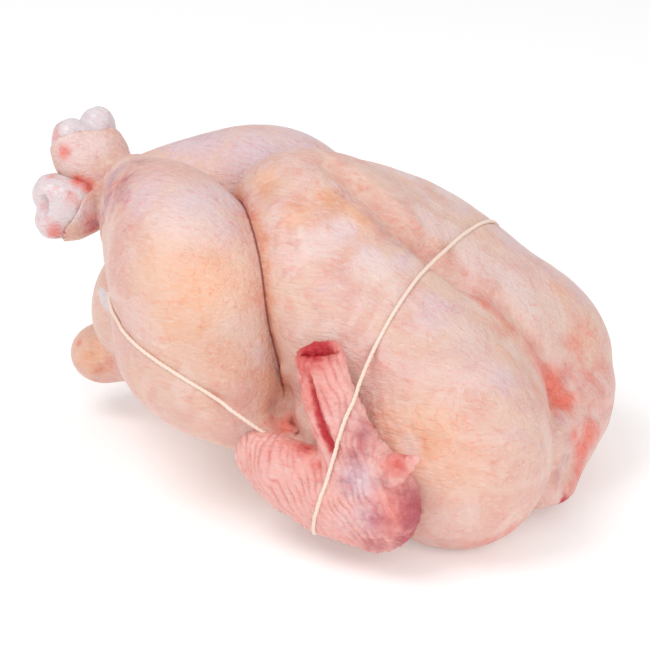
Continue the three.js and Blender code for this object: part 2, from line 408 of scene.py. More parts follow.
def body_shape(p):
    d = blend(torso(p), neck_skin(p), 4)
    for side in (NEAR, FAR):
        thigh = leg(p, side)
        ahead = ahead_of_leg(p, side)
        d = d + ahead * dive(thigh)
        d = blend(d, thigh, 1.2 + 15 * (1 - ahead) * fade(84, 56, p[:, 2]))
    d = blend(d, blend(shank(p, NEAR), limb(p, TENDON), 4), 2)
    d = np.minimum(d, shank(p, FAR))
    return blend(d, limb(p, TAIL, across=(0, 0, 1), thickness=0.85), 6)


def wing_shape(p, side):
    forearm = limb(p, mirrored(FOREARM, side), thickness=0.65)
    flattened = partial(limb, p, mirrored(HAND[side], side), (0, 1, 0.3 * side))
    at, out = mirrored([HAND_END[side], HAND_CUT], side)
    beyond = (p - at) @ np.array(out) + 0.8 * noise(p, 6, 6)
    hollow = np.maximum(flattened(thickness=0.2) + HAND_WALL, -beyond - HAND_HOLLOW)
    hand = carve(carve(flattened(thickness=0.55), beyond, 1.2), -hollow, 1.6)
    thumb = limb(p, mirrored(THUMB[: THUMB_STATIONS[side]], side), thickness=0.7)
    return blend(blend(forearm, hand, 5), thumb, 3)


def bird_shape(p):
    return np.minimum(body_shape(p), np.minimum(wing_shape(p, NEAR), wing_shape(p, FAR)))


# ---- the string's route ----

TAUT_ROUNDS, PULLS = 16, 12
FREE_ROUNDS = 3  # after these, the path only moves out and in
BEYOND_SKIN = 50  # added to a field that doesn't count
STRING_STEPS = 6
STRING_REST = 0.6  # the string's middle over the skin, in its radii


def taut(path, field, height):
    """Pulls a closed path straight, across hollows too, and keeps it out of the skin."""
    p = path.copy()
    for k in range(TAUT_ROUNDS):
        out = outwards_at(p, field)
        for _ in range(PULLS):
            pull = (np.roll(p, 1, 0) + np.roll(p, -1, 0)) / 2 - p
            rise = np.einsum("ij,ij->i", pull, out)[:, None] * out
            p += 0.5 * (pull if k < FREE_ROUNDS else rise)
        p += np.maximum(height - field(p), 0)[:, None] * out
    return p


def half_route(side):
    """Stations on one side's half of the loop, with 1 where it shows and 0 where it is hidden."""
    over = STRING_OVER_BREAST[side] + STRING_OVER_WING
    parts = (over, 1), (STRING_BEHIND_WING, 0), (STRING_OVER_THIGH, 1)
    return [(x, side * y, z, shows) for stations, shows in parts for x, y, z in stations]


def string_route():
    """The whole loop, a point every few millimetres, and which points show."""
    stops = half_route(FAR) + half_route(NEAR)[::-1]
    path = curve_through([stops[-1], *stops, stops[0]], STRING_STEPS)[STRING_STEPS : -STRING_STEPS - 1]
    return path[:, :3], path[:, 3] > 0.99


# ---- relief: folds, wrinkles and dents ----

Fold = namedtuple("Fold", "rise width line")
PAIRED = 25  # a spot farther than this from the middle is repeated on the other side

KEEL = [
    (-3, -6, 128), (5, -9, 126), (13, -12, 122), (23, -13, 115), (30, -15, 109), (40, -12, 101),
    (52, -10, 91), (60, -6, 83), (69, -3, 76), (78, -2, 66), (84, 0, 57), (91, -4, 49),
]
BODY_FOLDS = [
    Fold(0.9, 3.6, [(-89, -38, 73), (-84, -44, 71), (-78, -53, 74), (-74, -59, 78)]),
    Fold(-4.6, 8, KEEL[:7]),
    Fold(-2.6, 5, KEEL[5:]),
    Fold(1.0, 2.4, [
        (-3, 1, 129), (5, -2, 127), (14, -4, 123), (24, -5, 117), (32, -6, 111), (42, -3, 103),
    ]),
    Fold(-1.3, 2, [
        (-93, -12, 117), (-92, -25, 113), (-89, -34, 110), (-81, -45, 107), (-76, -54, 102),
        (-71, -61, 96),
    ]),
    Fold(-1.6, 2.0, [(96, 0, 41), (100, 6, 39), (104, 15, 35), (106, 25, 30)]),
    Fold(-1.3, 1.8, [(98, -1, 38), (102, 7, 35), (105, 17, 30)]),
    Fold(1.8, 2.4, [
        (97, 6, 43), (95, -1, 42), (95, -8, 40), (97, -16, 36), (99, -22, 26), (98, -24, 17),
    ]),
    Fold(-2.0, 2.6, [(90, -3, 54), (91, -5, 47), (93, -4, 40)]),
    Fold(-0.8, 1.8, [(88, -6, 56), (92, 2, 52), (95, 10, 50)]),
    Fold(-0.7, 1.6, [(-4, -39, 115), (-3, -42, 113), (0, -47, 109)]),
    Fold(-1.2, 2.0, [(-76, -57, 94), (-72, -60, 88), (-67, -65, 83), (-60, -71, 78)]),
    Fold(1.8, 2.0, [(1, -57, 64), (0, -55, 59), (-1, -54, 54), (-1, -54, 49), (0, -57, 46)]),
    Fold(-2.6, 2.0, [(1, -56, 54), (2, -56, 51), (3, -59, 48), (6, -64, 47), (8, -68, 46)]),
    Fold(-3.0, 3, [(-2, -60, 45), (2, -66, 44), (7, -68, 45), (11, -70, 43)]),
    Fold(-1.6, 1.8, [(-107, -14, 20), (-101, -18, 27), (-96, -20, 32)]),
    Fold(-2.4, 2.6, [(-100, -18, 48), (-103, 0, 47), (-101, 16, 48)]),
]


def settled(folds, field):
    return [Fold(f.rise, f.width, settle(curve_through(f.line, 4), field)) for f in folds]


def near_line(p, fold):
    return np.exp(-((to_line(p, fold.line) / fold.width) ** 2))


def near_spots(p, spots):
    """From 0 to a spot's strength round spots (x, y, z, radius, strength)."""
    most = np.zeros(len(p))
    for x, y, z, radius, strength in spots:
        for at in [(x, y, z), (x, -y, z)][: 2 if abs(y) > PAIRED else 1]:
            most = np.maximum(most, strength * np.exp(-((length(p - at) / radius) ** 2)))
    return most


BODY_LINES = settled(BODY_FOLDS, body_shape)
WHITE_STRIP, KEEL_TOP, KEEL_FRONT = BODY_LINES[:3]
STRING_PATH, STRING_SHOWS = string_route()
STRING_PATH[STRING_SHOWS] = settle(STRING_PATH[STRING_SHOWS], bird_shape)
STRING_DENT = Fold(-0.8, 1.7, np.vstack([STRING_PATH, STRING_PATH[:1]]))
ANKLE_HOLE = Fold(-2.5, 1.3, np.array([(-122.5, -24, 102), (-122, -24.5, 99.5), (-121.5, -25, 97)]))
PIT_SHADOW = Fold(  # between leg and wing; only its colour is drawn, as a painted shadow
    -1, 2.4, np.array([(3.5, -60, 47.5), (4.5, -62, 46), (6, -64, 45), (9, -66.5, 43.5), (10, -67, 42.5)])
)
ACROSS_WRINKLES = np.array((0.86, 0, 0.5))
SIDE_OF_BREAST = [(56, -71, 60, 24, 1)]
LOOSE_SKIN = [(100, -8, 24, 14, 1), (102, 12, 34, 12, 1)]
BARE = [(-110, -21, 96, 8, 0.8), (-104, -21, 92, 6, 0.5)]


def breast_wrinkles(p):
    """Ridges from -1 to 1, bent and broken by noise."""
    phase = p @ ACROSS_WRINKLES / 5 + 0.9 * noise(p, 20, 20) + 0.3 * noise(p, 8, 21)
    return np.cos(2 * math.pi * phase) * (0.65 + 0.5 * noise(p, 15, 22))


def body_relief(p):
    rise = 0.6 * noise(p, 27, 1) + 0.25 * noise(p, 10, 2)
    rise += 0.3 * near_spots(p, SIDE_OF_BREAST) * breast_wrinkles(p)
    rise += 1.1 * near_spots(p, LOOSE_SKIN) * noise(p, 7, 23)
    for fold in [*BODY_LINES, STRING_DENT]:
        rise += fold.rise * near_line(p, fold)
    return rise


def resting_body(p):
    return carve(body_shape(p), -p[:, 2], FLOOR_EDGE)


def resting_wing(p, side):
    return carve(wing_shape(p, side), -p[:, 2], FLOOR_EDGE)


def body_skin(p):
    return resting_body(p) - body_relief(p)


def hand_groove(p):
    line = np.array([(x, 0, z) for x, z in HAND_GROOVE])
    width = 1.3 + 1.3 * fade(72, 52, p[:, 2])
    return np.exp(-((to_line(p * (1, 0, 1), line) / width) ** 2))


def sharp_wave(phase):
    """Narrow grooves, 1 deep, between broad ridges."""
    return -(np.clip(np.cos(2 * math.pi * phase), 0, 1) ** 2.5)


def wing_wrinkles(p):
    """Grooves that run along the hand and on across the forearm."""
    phase = p @ ACROSS_WRINKLES / 3 + 1.2 * noise(p, 15, 30) + 0.5 * noise(p, 5, 31)
    return sharp_wave(phase) * np.clip(0.55 + 0.9 * noise(p, 6, 32), 0, 1)


def goosebumps(p):
    """Small bumps with flat skin between them."""
    return np.clip(noise(p, 2.1, 37) + 0.4 * noise(p, 1.2, 38) - 0.1, 0, 0.6)


def wing_relief(p, side):
    rise = 0.5 * noise(p, 12, 3) + 0.25 * noise(p, 4.5, 36) + 0.9 * wing_wrinkles(p) + 0.9 * goosebumps(p)
    if side == NEAR:
        rise -= 2.6 * hand_groove(p) * fade(78, 71, p[:, 2])
    return rise


def wing_skin(p, side):
    return resting_wing(p, side) - wing_relief(p, side)


def ankle_relief(p):
    return 0.5 * noise(p, 6, 7) + 0.15 * noise(p, 2.2, 8) + ANKLE_HOLE.rise * near_line(p, ANKLE_HOLE)


# ---- colours over the skin: spots (x, y, z, radius, strength) ----

BODY_SPOTS = {
    "fat": [
        (-41, -66, 100, 16, 0.8), (-29, -65, 95, 20, 0.9), (-32, -72, 87, 18, 0.7),
        (-24, -57, 99, 12, 0.6), (-32, -80, 74, 22, 0.3), (-14, -75, 71, 18, 0.4),
        (-18, -80, 56, 20, 0.3), (-25, -22, 123, 9, 0.8), (-3, -36, 117, 10, 0.6), (4, -24, 122, 8, 0.7),
        (16, -26, 117, 9, 0.8), (65, -75, 54, 20, 0.7), (50, -72, 58, 12, 0.5), (79, -75, 44, 20, 0.5),
        (83, -74, 33, 20, 0.3), (79, 34, 74, 10, 0.5), (94, 28, 57, 10, 0.4), (18, 35, 111, 12, 0.5),
        (-51, -77, 57, 14, 0.4), (-72, -63, 68, 10, 0.5), (-4, -62, 58, 9, 0.7), (-3, -66, 50, 9, 0.6),
        (-107, -18, 32, 12, 0.8), (-112, -5, 32, 12, 0.8), (-1, -54, 56, 4, 1), (-1, -54, 50, 4, 1),
    ],
    # tan skin, and warm shade painted round the pit and along the leg's lower edge
    "tan": [
        (-24, -30, 112, 5, 0.9), (-14, -43, 108, 5, 0.9), (-20, -26, 121, 8, 0.8), (-5, -30, 121, 9, 0.6),
        (7, -25, 121, 10, 0.7), (20, -22, 116, 8, 0.6), (26, -24, 112, 7, 0.5), (-3, -42, 113, 3.5, 0.6),
        (-24, -80, 77, 20, 0.5), (-17, -81, 57, 16, 0.4), (-10, -75, 68, 14, 0.5),
        (-37, -79, 85, 12, 0.4), (-2, -59, 54, 6, 0.7), (-4, -68, 46, 7, 0.5), (47, -17, 98, 5, 0.6),
        (64, -13, 85, 6, 0.7), (74, -12, 76, 7, 0.7), (-107, -12, 30, 9, 0.7), (-35, -70, 92, 9, 0.5),
        (66, -73, 55, 10, 0.5), (0, -58, 46, 4, 0.8), (3, -65, 45, 5, 0.9), (-81, -48, 88, 10, 0.5),
    ],
    "film": [
        (33, 3, 109, 8, 0.8), (37, 1, 106, 8, 0.8), (51, 6, 94, 9, 0.9), (55, 8, 92, 9, 0.9),
        (59, 6, 89, 7, 0.7), (-104, -22, 98, 6, 0.7), (-112, -14, 114, 10, 0.7),
        (-115, -13, 120, 11, 0.8), (-108, -9, 122, 10, 0.8), (-104, -4, 123, 8, 0.6),
        (-106, -15, 112, 8, 0.5), (-3, -7, 129, 4, 0.6), (8, -12, 125, 4, 0.6), (16, -14, 121, 4, 0.6),
        (25, -15, 115, 4, 0.6), (-48, -60, 119, 12, 0.6), (-39, -61, 116, 12, 0.6),
        (-31, -63, 112, 10, 0.5), (9, -43, 111, 10, 0.9), (0, -42, 113, 5, 0.7), (14, -32, 115, 8, 0.7),
        (30, -41, 104, 11, 0.9), (40, -44, 99, 9, 0.7), (32, -54, 95, 8, 0.5), (43, 9, 100, 9, 1),
        (38, 5, 105, 6, 0.8), (50, 8, 95, 8, 0.9), (68, 12, 82, 12, 0.8), (59, 12, 89, 8, 0.7),
        (76, 8, 75, 9, 0.7), (53, -51, 86, 10, 0.5), (75, -57, 72, 12, 0.5), (22, -63, 85, 9, 0.6),
        (31, -65, 79, 8, 0.6), (59, -75, 51, 6, 0.8), (-3, -6, 130, 8, 0.5), (-50, -50, 115, 12, 0.6),
        (-20, -55, 97, 8, 0.7), (-28, -80, 62, 9, 0.4), (31, 18, 108, 8, 0.7), (23, 22, 112, 8, 0.6),
        (38, 23, 103, 7, 0.6), (15, 20, 116, 8, 0.5), (82, -70, 40, 12, 0.4), (-30, -78, 50, 8, 0.4),
    ],
    # lilac skin over membrane, and shade painted along the keel's valley and on the calf
    "lilac": [
        (3, -15, 126, 6, 0.6), (10, -17, 123, 6, 0.6), (19, -19, 118, 6, 0.6), (26, -19, 114, 6, 0.6),
        (32, -21, 108, 6, 0.6), (38, -21, 104, 6, 0.6), (-60, -49, 119, 16, 0.7),
        (-43, -47, 117, 16, 0.8), (-32, -50, 109, 14, 0.7), (-20, -49, 99, 7, 0.8), (-6, -64, 72, 8, 0.5),
        (-47, -75, 82, 12, 0.5), (-85, -30, 118, 10, 0.8), (-78, -42, 113, 10, 0.7),
        (-73, 19, 120, 22, 0.8), (-46, 20, 119, 22, 0.8), (-34, 33, 119, 16, 0.7),
        (15, -35, 113, 10, 0.7), (27, -38, 107, 9, 0.7), (37, -32, 104, 9, 0.6), (56, -40, 90, 16, 0.6),
        (19, -56, 98, 10, 0.4), (12, -64, 84, 8, 0.4), (70, -45, 78, 18, 0.5), (83, -47, 69, 12, 0.6),
        (94, -55, 55, 12, 0.4), (100, -6, 38, 8, 0.4), (99, -12, 28, 7, 0.5), (48, -14, 98, 4, 0.7),
        (-115, -13, 120, 12, 0.7), (-106, -8, 122, 9, 0.6), (-104, -22, 97, 7, 0.8),
        (-103, -19, 92, 6, 0.8), (96, -11, 40, 5, 0.5), (97, -20, 33, 6, 0.5), (99, -18, 24, 6, 0.5),
    ],
    # purple skin, and shade painted on the calf's top and along the keel's valley
    "bruise": [
        (-98, -10, 115, 8, 0.4), (-75, -43, 121, 9, 0.6), (-81, -44, 114, 8, 0.6),
        (36, -15, 106, 5, 0.35), (-85, -32, 118, 11, 0.65), (-75, -28, 124, 10, 0.5),
        (-71, -48, 117, 9, 0.5), (-86, -40, 106, 10, 0.65), (-82, -47, 96, 8, 0.4),
        (10, -17, 123, 5, 0.35), (19, -19, 118, 5, 0.4), (26, -19, 114, 5, 0.45), (32, -21, 108, 5, 0.45),
        (38, -21, 104, 5, 0.4), (96, -10, 38, 6, 0.5), (99, -14, 29, 7, 0.5), (98, -20, 22, 6, 0.4),
        (-12, -36, 112, 3, 0.4), (-103, -18, 90, 4, 0.5),
    ],
    "flush": [
        (46, -15, 98, 6, 0.6), (51, -14, 95, 6, 0.6), (55, -15, 92, 6, 0.7), (60, -13, 88, 6, 0.7),
        (65, -13, 84, 6, 0.8), (70, -11, 80, 6, 0.7), (76, -10, 74, 6, 0.6), (82, -10, 67, 7, 0.6),
        (86, -8, 61, 7, 0.7), (-78, -40, 119, 7, 0.6), (-67, -52, 115, 8, 0.4), (-10, -56, 90, 7, 0.6),
        (-8, -56, 86, 5, 0.5), (-106, 3, 125, 5, 0.4), (-110, -12, 118, 16, 0.2),
        (-118, -14, 119, 4, 0.9), (-116, -27, 89, 5, 0.9), (-112, -14, 107.5, 4, 1),
        (-107, -14, 106, 4, 1), (-104, -17, 89, 4, 0.9), (-103, -20, 94, 5, 0.7), (-115, -13, 34, 2, 1),
        (-114, -14, 26, 3, 0.6), (-104, -17, 25, 3, 0.7), (-99, -19, 29, 3.5, 0.9),
        (-24, -36, 115, 5, 0.6), (-14, -47, 109, 5, 0.6), (2, -60, 92, 5, 0.4), (-3, -63, 41, 6, 0.7),
        (-9, -61, 38, 6, 0.6), (88, -6, 56, 9, 0.9), (90, -2, 49, 11, 1), (93, -1, 43, 9, 1),
        (92, -9, 45, 6, 0.8), (91, 11, 50, 9, 0.55), (90, 22, 57, 11, 0.5), (92, 34, 59, 9, 0.45),
        (73, -19, 77, 7, 0.5), (80, -8, 66, 7, 0.7), (62, -8, 84, 4, 0.5), (96, 19, 46, 6, 0.5),
        (101, 22, 41, 6, 0.5), (105, 18, 33, 6, 0.5), (100, 30, 47, 8, 0.5), (101, -7, 32, 5, 0.8),
        (103, 4, 28, 8, 1), (105, 10, 27, 5, 0.8), (102, -2, 24, 8, 1), (103, -5, 17, 7, 0.9),
        (102, -14, 14, 5, 0.7), (79, -63, 9, 6, 0.5), (85, -58, 9, 7, 0.6), (92, -55, 12, 7, 0.6),
        (96, -51, 17, 6, 0.5), (4, -65, 43, 6, 0.9), (-3, -58, 40, 7, 0.8),
    ],
    "raw": [
        (9, -70, 44, 4, 0.5), (6, -66, 45, 3, 0.5), (91, -4, 48, 3, 0.6), (28, -22, 111, 2.5, 0.4),
        (100, -18, 9, 4, 1), (96, -24, 8, 3, 0.8),
    ],
}
WING_SPOTS = {
    "flush": [
        (21, 73, 80, 13, 1), (22, 76, 66, 11, 0.9), (30, 80, 54, 8, 0.7), (60, 88, 50, 7, 1),
        (28, 77, 70, 8, 0.5), (20, 80, 43, 9, 0.9), (27, 84, 40, 6, 0.9), (12, 80, 43, 7, 0.6),
        (5, 80, 38, 9, 0.4), (40, 86, 18, 12, 0.3), (34, 80, 52, 6, 0.6), (59, 86, 30, 14, 0.8),
    ],
    "bruise": [
        (66, 84, 34, 10, 1), (62, 82, 19, 11, 1), (66, 84, 27, 10, 1.05), (44, 84, 57, 7, 0.8),
        (42, 86, 48, 8, 0.8), (38, 88, 38, 8, 0.6), (50, 88, 18, 10, 0.7), (37, 82, 62, 5, 0.6),
        (52, 90, 30, 8, 0.7), (54, 88, 42, 6, 0.6), (46, 90, 22, 7, 0.5),
    ],
    "lilac": [
        (45, 87, 40, 10, 1), (50, 88, 28, 10, 0.9), (33, 80, 60, 6, 0.6), (36, 84, 44, 6, 0.6),
        (40, 88, 24, 8, 0.7), (10, 84, 16, 12, 0.35),
    ],
    "raw": [
        (21, 74, 82, 9, 1), (19, 77, 73, 7, 0.6), (20, 80, 43, 4.5, 0.8), (26, 84, 40, 5, 0.6),
        (57, 87, 48, 5, 0.6), (62, 88, 51, 5, 0.7), (66, 89, 53, 3, 0.6),
    ],
}
GRISTLE = {NEAR: 1.0, FAR: 0.75}
OPEN = 9.0  # "apart" away from any crease
PIT_SHADOW_SIDE = 2.2  # "apart" at the pit's edge
# reaches of the shade painted in creases, of the warm shade painted beside the legs, and of the shadow
# line painted where leg meets breast
CREASE_SHADE_REACH, LEG_SHADE_REACH, CREASE_REACH = 2.5, 6, 4


def crease_shading(p, shape):
    """1 deep in a crease and 0 in the open: how much of the way out from the skin is blocked. It sets the
    shade painted into creases.
    """
    beyond = shape(p + CREASE_SHADE_REACH * outwards_at(p, shape))
    return np.clip(1 - (beyond - shape(p)) / CREASE_SHADE_REACH, 0, 1)


def under_leg(p):
    """Painted shade on the breast near the legs where it dives under them, the painted shadow line in
    the crease, and the crease's two sides.

    The last goes through 0 in the crease, so that a surface can draw that shadow line thinner than the
    mesh.
    """
    shade_by_leg, line, apart = np.zeros(len(p)), np.zeros(len(p)), np.full(len(p), OPEN)
    breast = torso(p)
    for side in (NEAR, FAR):
        gap, ahead = leg(p, side), ahead_of_leg(p, side)
        sunk = breast + dive(gap)
        shade_by_leg = np.maximum(shade_by_leg, ahead * np.exp(-np.maximum(gap, 0) / LEG_SHADE_REACH) * fade(0.3, 1.5, gap))
        tent = 1 - np.hypot(gap, sunk) / CREASE_REACH
        line = np.maximum(line, ahead * tent * (0.5 + 0.5 * fade(66, 86, p[:, 2])))
        between = np.where(tent > 0, gap - sunk, np.copysign(OPEN, gap - sunk))
        apart = np.where(np.abs(between) < np.abs(apart), between, apart)
    return shade_by_leg, line, apart + 3 * fade(54, 44, p[:, 2])


def body_masks(p):
    masks = {name: near_spots(p, spots) for name, spots in BODY_SPOTS.items()}
    # a whitish raised strip on the rump, drawn in the gristle colour
    strip = near_line(p, WHITE_STRIP) * (0.85 + 0.5 * noise(p, 5, 41))
    masks["gristle"] = np.maximum(strip, near_spots(p, BARE))
    # painted shade beside the legs, the painted shadow line in the crease, and the crease's sides
    shade_by_leg, line, apart = under_leg(p)
    # warm shade painted beside the legs and along the keel's valley, in the fat, tan and flush colours
    keel_valley_shade = np.maximum(near_line(p, KEEL_TOP), near_line(p, KEEL_FRONT))
    for name, by_glow, by_keel in (("fat", 0.9, 0), ("tan", 1, 0.6), ("flush", 0.5, 0.35)):
        masks[name] = np.maximum(masks[name], np.maximum(by_glow * shade_by_leg, by_keel * keel_valley_shade))
    pit_shadow = near_line(p, PIT_SHADOW)
    masks["apart"] = np.where(pit_shadow > 0.3, np.copysign(PIT_SHADOW_SIDE * (1 - pit_shadow), apart), apart)
    # painted shade: deep in creases, the shadow line where leg meets breast, and the pit's shadow
    masks["seam"] = np.maximum(crease_shading(p, body_shape), np.maximum(line, pit_shadow))
    return masks


def wing_masks(p, side):
    masks = {name: near_spots(p * (1, side, 1), spots) for name, spots in WING_SPOTS.items()}
    if side == NEAR:
        groove = hand_groove(p)
        masks["flush"] = np.maximum(masks["flush"], groove)
        masks["raw"] = np.maximum(masks["raw"], 0.85 * groove * fade(84, 66, p[:, 2]))
    masks["wing"] = np.ones(len(p))
    masks["furrow"] = np.clip(-wing_wrinkles(p), 0, 1)
    # painted shade in the wing's creases
    masks["seam"] = crease_shading(p, partial(wing_shape, side=side))
    masks["apart"] = np.full(len(p), OPEN)
    return masks


def ankle_masks(p, side):
    red = 0.6 * fade(-0.2, -0.9, noise(p, 6, 7))
    masks = {"flush": np.maximum(near_spots(p, BODY_SPOTS["flush"]), red)}
    masks["gristle"] = np.full(len(p), GRISTLE[side])
    masks["raw"] = near_line(p, ANKLE_HOLE) if side == FAR else np.zeros(len(p))
    # painted shade where the ankle meets the body
    masks["seam"] = 0.8 * crease_shading(p, lambda q: np.minimum(body_shape(q), ankle(q, side)))
    masks["apart"] = np.full(len(p), OPEN)
    return masks


# ---- nodes ----


def feed(tree, socket, value):
    """Links a value to a socket, or sets the socket to it."""
    if isinstance(value, Value):
        tree.links.new(value.socket, socket)
    else:
        socket.default_value = value


def node(tree, kind, settings=None, values=None, output=0):
    """Adds a node: its settings first, then a value or a link for each socket. Gives one output."""
    made = tree.nodes.new(kind)
    for name, setting in (settings or {}).items():
        setattr(made, name, setting)
    for name, value in (values or {}).items():
        by_name = [s for s in made.inputs if s.enabled and s.name == name]
        feed(tree, made.inputs[name] if isinstance(name, int) else by_name[0], value)
    outputs = [s for s in made.outputs if s.enabled]
    return Value(outputs[output] if isinstance(output, int) else made.outputs[output])


def scaled(tree, vector, scale):
    return node(tree, "ShaderNodeVectorMath", {"operation": "SCALE"}, {"Vector": vector, "Scale": scale})


class Value:
    """A socket that Python's operators work on; each operation adds a Math node."""

    def __init__(self, socket):
        self.socket = socket

    def math(self, operation, *values):
        settings = {"operation": operation}
        return node(self.socket.id_data, "ShaderNodeMath", settings, dict(enumerate(values)))

    def __add__(self, other):
        return self.math("ADD", self, other)

    def __mul__(self, other):
        return self.math("MULTIPLY", self, other)

    def __sub__(self, other):
        return self.math("SUBTRACT", self, other)

    def __rsub__(self, other):
        return self.math("SUBTRACT", other, self)

    def __abs__(self):
        return self.math("ABSOLUTE", self)

    __radd__ = __add__
    __rmul__ = __mul__


class Surface:
    """A material's node tree, with the patterns that the finishes share. Places are in millimetres."""

    def __init__(self, name):
        self.material = bpy.data.materials.new(name)
        self.material.use_nodes = True
        self.tree = self.material.node_tree
        self.shader = self.tree.nodes["Principled BSDF"]
        self.place = scaled(self.tree, self.node("ShaderNodeTexCoord", output="Object"), 1 / MM)

    def node(self, kind, settings=None, values=None, output=0):
        return node(self.tree, kind, settings, values, output)

    def lumps(self, size, detail=2.0, distortion=0.0, stretch=(1, 1, 1)):
        """Noise from 0 to 1 with lumps of a size in millimetres, times the stretch along each axis."""
        scales = tuple(1 / (size * s) for s in stretch)
        q = self.node("ShaderNodeVectorMath", {"operation": "MULTIPLY"}, {0: self.place, 1: scales})
        values = {"Vector": q, "Scale": 1.0, "Detail": detail, "Distortion": distortion}
        return self.node("ShaderNodeTexNoise", None, values)

    def mask(self, name):
        return self.node("ShaderNodeAttribute", {"attribute_name": name}, output="Fac")

    def fade(self, value, low, high):
        """0 below low, 1 above high, and smooth between."""
        values = {"Value": value, "From Min": low, "From Max": high}
        return self.node("ShaderNodeMapRange", {"interpolation_type": "SMOOTHSTEP"}, values)

    def mixed(self, share, a, b):
        a, b = (c if isinstance(c, Value) else (*c, 1.0) for c in (a, b))
        return self.node("ShaderNodeMix", {"data_type": "RGBA"}, {"Factor": share, "A": a, "B": b})

    def bumped(self, height):
        """A normal for a height in millimetres."""
        return self.node("ShaderNodeBump", None, {"Height": height, "Distance": MM, "Strength": 1.0})

    def set(self, **values):
        for name, value in values.items():
            feed(self.tree, self.shader.inputs[name.replace("_", " ")], value)


def skin_finish(tints):
    """Thin moist skin: the masks painted on the piece say where fat, blood or gristle show through, and
    where shade is painted into creases.
    """
    s = Surface("chicken_skin")
    broad, middle, fine = s.lumps(34, 3), s.lumps(9, 4, 0.8), s.lumps(2.4, 3)
    streaks = s.lumps(1.3, 3, 0.7, stretch=(5, 1, 1))
    ragged = (middle - 0.5) * 0.5 + (fine - 0.5) * 0.25
    wing, gristle, seam = s.mask("wing"), s.mask("gristle"), s.mask("seam")

    def patch(name, low=0.2, high=0.9, noise=1.0):
        return s.fade(s.mask(name) + ragged * noise, low, high)

    membrane = s.fade(s.lumps(26, 4, 1.0), 0.5, 0.56) * s.fade(streaks, 0.3, 0.6)
    blood = s.mixed(wing * 0.35, tints.flush, tints.raw)
    web = 1 - s.fade(abs(s.lumps(7, 3, 1.2) - 0.5), 0.004, 0.045)
    veins = 1 - s.fade(abs(s.lumps(11, 4, 1.5) - 0.5), 0.003, 0.02)
    cells = s.node("ShaderNodeTexVoronoi", None, {"Vector": s.place, "Scale": 0.36}, "Distance")
    pores = 1 - s.fade(cells, 0.1, 0.28)
    # shade painted into creases, and the thin shadow line painted where leg meets breast
    shaded_crease = s.fade(seam, 0.35, 1.0)
    crease_shadow_line = s.fade(seam, 0.3, 0.6) * (1 - s.fade(abs(s.mask("apart")), 0.2, 1.1))
    colour = s.mixed(s.fade(broad * 0.6 + middle * 0.4, 0.38, 0.62), tints.pale, tints.pink)
    for share, tint in (  # each lies over those before it
        (membrane * 0.45, tints.film),
        (wing * 0.85, tints.wing),
        (patch("fat", 0.1) * 0.85, tints.fat),
        (patch("lilac") * 0.8, tints.lilac),
        (patch("film", 0.3, 0.7) * 0.6, tints.film),
        (patch("tan") * 0.7, tints.tan),
        (s.fade(gristle + ragged * 0.5, 0.4, 0.8) * 0.85, tints.gristle),
        (s.fade(streaks, 0.48, 0.28) * 0.38, tints.film),
        (patch("flush", 0.1, 1.1) * 0.85, blood),
        (web * patch("flush", 0.1) * (1 - wing) * 0.28, tints.raw),
        (patch("bruise", 0.1, 1.2, 2.4) * 0.8, tints.bruise),
        # the wrinkles' grooves are drawn darker and redder
        (s.mask("furrow") * 0.45, blood),
        (s.fade(streaks, 0.52, 0.72) * s.fade(middle, 0.4, 0.6) * 0.28, tints.flush),
        (veins * s.fade(s.lumps(25), 0.52, 0.65) * 0.3, tints.flush),
        (pores * (wing * 0.1 + 0.08), tints.flush),
        # painted shade in creases and the painted shadow line
        (shaded_crease * 0.5, tints.seam),
        (crease_shadow_line * 0.85, tints.seam),
        (patch("raw", 0.3, 0.9, 1.8), tints.raw),
    ):
        colour = s.mixed(share, colour, tint)
    height = middle * 0.7 + fine * 0.7 + streaks * 0.6 + pores * (wing * 0.15 + 0.04)
    s.set(
        Base_Color=colour,
        Roughness=0.5 - s.fade(middle, 0.4, 0.7) * 0.12 + shaded_crease * 0.4,
        Coat_Weight=(0.15 + gristle * 0.4 + s.fade(broad, 0.45, 0.7) * 0.15) * (1 - shaded_crease),
        Coat_Roughness=0.2,
        Subsurface_Weight=0.22,
        Subsurface_Radius=(1.0, 0.35, 0.2),
        Subsurface_Scale=0.003,
        IOR=1.4,
        Normal=s.bumped(height),
    )
    return s.material


FIBRE_SHADOW = shade(214, 186, 170)


def string_finish(tint):
    """Soft covered elastic, with fine fibres along its twist."""
    s = Surface("string")
    fibres = s.lumps(0.5, 2, 0.5)
    s.set(
        Base_Color=s.mixed(fibres * 0.25, tint, FIBRE_SHADOW),
        Roughness=0.8,
        Sheen_Weight=0.2,
        Normal=s.bumped(fibres * 0.15),
    )
    return s.material


def paper_finish():
    """White paper that is also lit a little from below."""
    s = Surface("floor_paper")
    white = (1, 1, 1, 1)
    s.set(Base_Color=(0.93, 0.93, 0.93, 1), Roughness=0.9, Emission_Color=white, Emission_Strength=0.18)
    return s.material


STRING_INPUTS = {
    "Geometry": "Geometry", "Thickness": "Float", "Lay": "Float", "Strands": "Int", "Material": "Material"
}
RING_POINTS = 15
STEP, RING_RADIUS = 0.4, 0.46  # in the string's thickness
STRAND_SWELL = 0.1  # in the ring's radius


